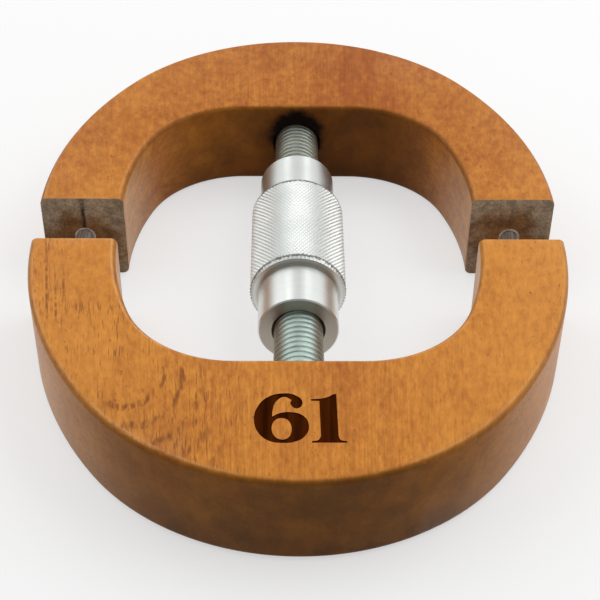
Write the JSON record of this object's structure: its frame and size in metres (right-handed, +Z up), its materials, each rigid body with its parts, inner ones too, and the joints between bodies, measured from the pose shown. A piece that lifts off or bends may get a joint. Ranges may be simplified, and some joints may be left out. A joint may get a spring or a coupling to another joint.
{
  "type": "hat stretcher",
  "caption": "Oval wooden hat stretcher, split into halves that slide on guide pins; a knurled turnbuckle sleeve on studs of opposite hand spreads them inside a hat band.",
  "frame": {"origin": "on the ground plane, under the middle of the oval and of the gap between the halves", "axes": "+X to the right across the screw, +Y to the rear along the screw, +Z up"},
  "size_m": [0.174, 0.236, 0.032],
  "materials": {
    "varnished_wood": "satin varnish over reddish hardwood, grain along the screw",
    "bright_aluminium": "turned bright, with a fine diamond knurl on the grip",
    "zinc_plated_steel": "bluish zinc plate on a cut thread",
    "pin_steel": "drawn rod, slightly dulled",
    "pale_bush": "thin pale liner"
  },
  "bodies": {
    "front_frame": {"front_half": "varnished_wood", "front_stud": "zinc_plated_steel", "front_left_bush": "pale_bush", "front_right_bush": "pale_bush"},
    "rear_frame": {"rear_half": "varnished_wood", "rear_stud": "zinc_plated_steel", "rear_left_bush": "pale_bush", "rear_right_bush": "pale_bush"},
    "guide_pins": {"left_guide_pin": "pin_steel", "right_guide_pin": "pin_steel"},
    "sleeve": {"turnbuckle_sleeve": "bright_aluminium"}
  },
  "joints": [
    {"name": "frame_spread", "type": "slide", "parent": "front_frame", "child": "rear_frame", "axis": [0, 1, 0], "range_m": [-0.0217, 0.0161]},
    {"name": "pin_float", "type": "slide", "parent": "front_frame", "child": "guide_pins", "axis": [0, 1, 0], "range_m": [-0.0109, 0.0081]},
    {"name": "sleeve_turn", "type": "hinge", "parent": "guide_pins", "child": "sleeve", "pos_m": [0, 0, 0.016], "axis": [0, 1, 0], "range_deg": [-1692, 1256]}
  ],
  "couplings": [
    {"joint": "pin_float", "follows": "frame_spread", "ratio": 0.5},
    {"joint": "sleeve_turn", "follows": "frame_spread", "rad_per_m": 1360.5}
  ]
}
